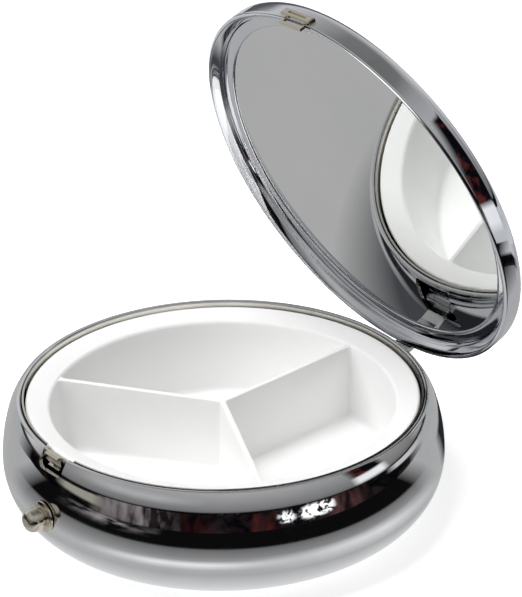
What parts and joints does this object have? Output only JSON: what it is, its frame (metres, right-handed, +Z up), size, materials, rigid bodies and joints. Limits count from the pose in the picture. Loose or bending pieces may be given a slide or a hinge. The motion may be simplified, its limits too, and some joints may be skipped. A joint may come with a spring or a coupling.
{
  "type": "pill organizer",
  "caption": "Round bulged metal pill box with a hinged mirrored lid, a sprung push-button latch and a loose divided tray.",
  "frame": {"origin": "centre of the round face that the box rests on", "axes": "+Z up along the axis of the round base, +Y to the lid's hinge, -Y to the push button"},
  "size_m": [0.05, 0.0578, 0.0564],
  "materials": {
    "chrome": "bright chrome plate with fine handling scratches",
    "nickel": "warm bright nickel plate",
    "tray_white": "moulded white plastic, soft gloss",
    "mirror_glass": "flat silvered glass",
    "steel": "plain bright steel",
    "card": "dull grey card"
  },
  "bodies": {
    "base": {"base_shell": "chrome", "base_ring": "nickel", "button_ferrule": "nickel", "hinge_ears": "steel", "ear_rivets": "steel", "hinge_pin": "steel", "spring_rivets": "steel", "latch_spring": "steel"},
    "tray": {"pill_tray": "tray_white"},
    "latch": {"push_button": "nickel", "tail_washer": "steel", "latch_hook": "nickel"},
    "lid": {"lid_shell": "chrome", "lid_frame": "chrome", "lid_bezel": "chrome", "mirror": "mirror_glass", "mirror_pad": "card", "lid_catch": "nickel", "lid_knuckle": "steel"}
  },
  "joints": [
    {"name": "lid_hinge", "type": "hinge", "parent": "base", "child": "lid", "pos_m": [0, 0.02308, 0.00985], "axis": [-1, 0, 0], "range_deg": [-71, 35]},
    {"name": "button_press", "type": "slide", "parent": "base", "child": "latch", "axis": [0.0436, 0.999, 0], "range_m": [0, 0.00055], "stiffness_N_per_m": 4000, "springref_m": -0.0002, "deforming": ["latch_spring"]},
    {"name": "tray_turn", "type": "hinge", "parent": "base", "child": "tray", "pos_m": [0, 0, 0.005], "axis": [0, 0, 1], "continuous": true}
  ]
}
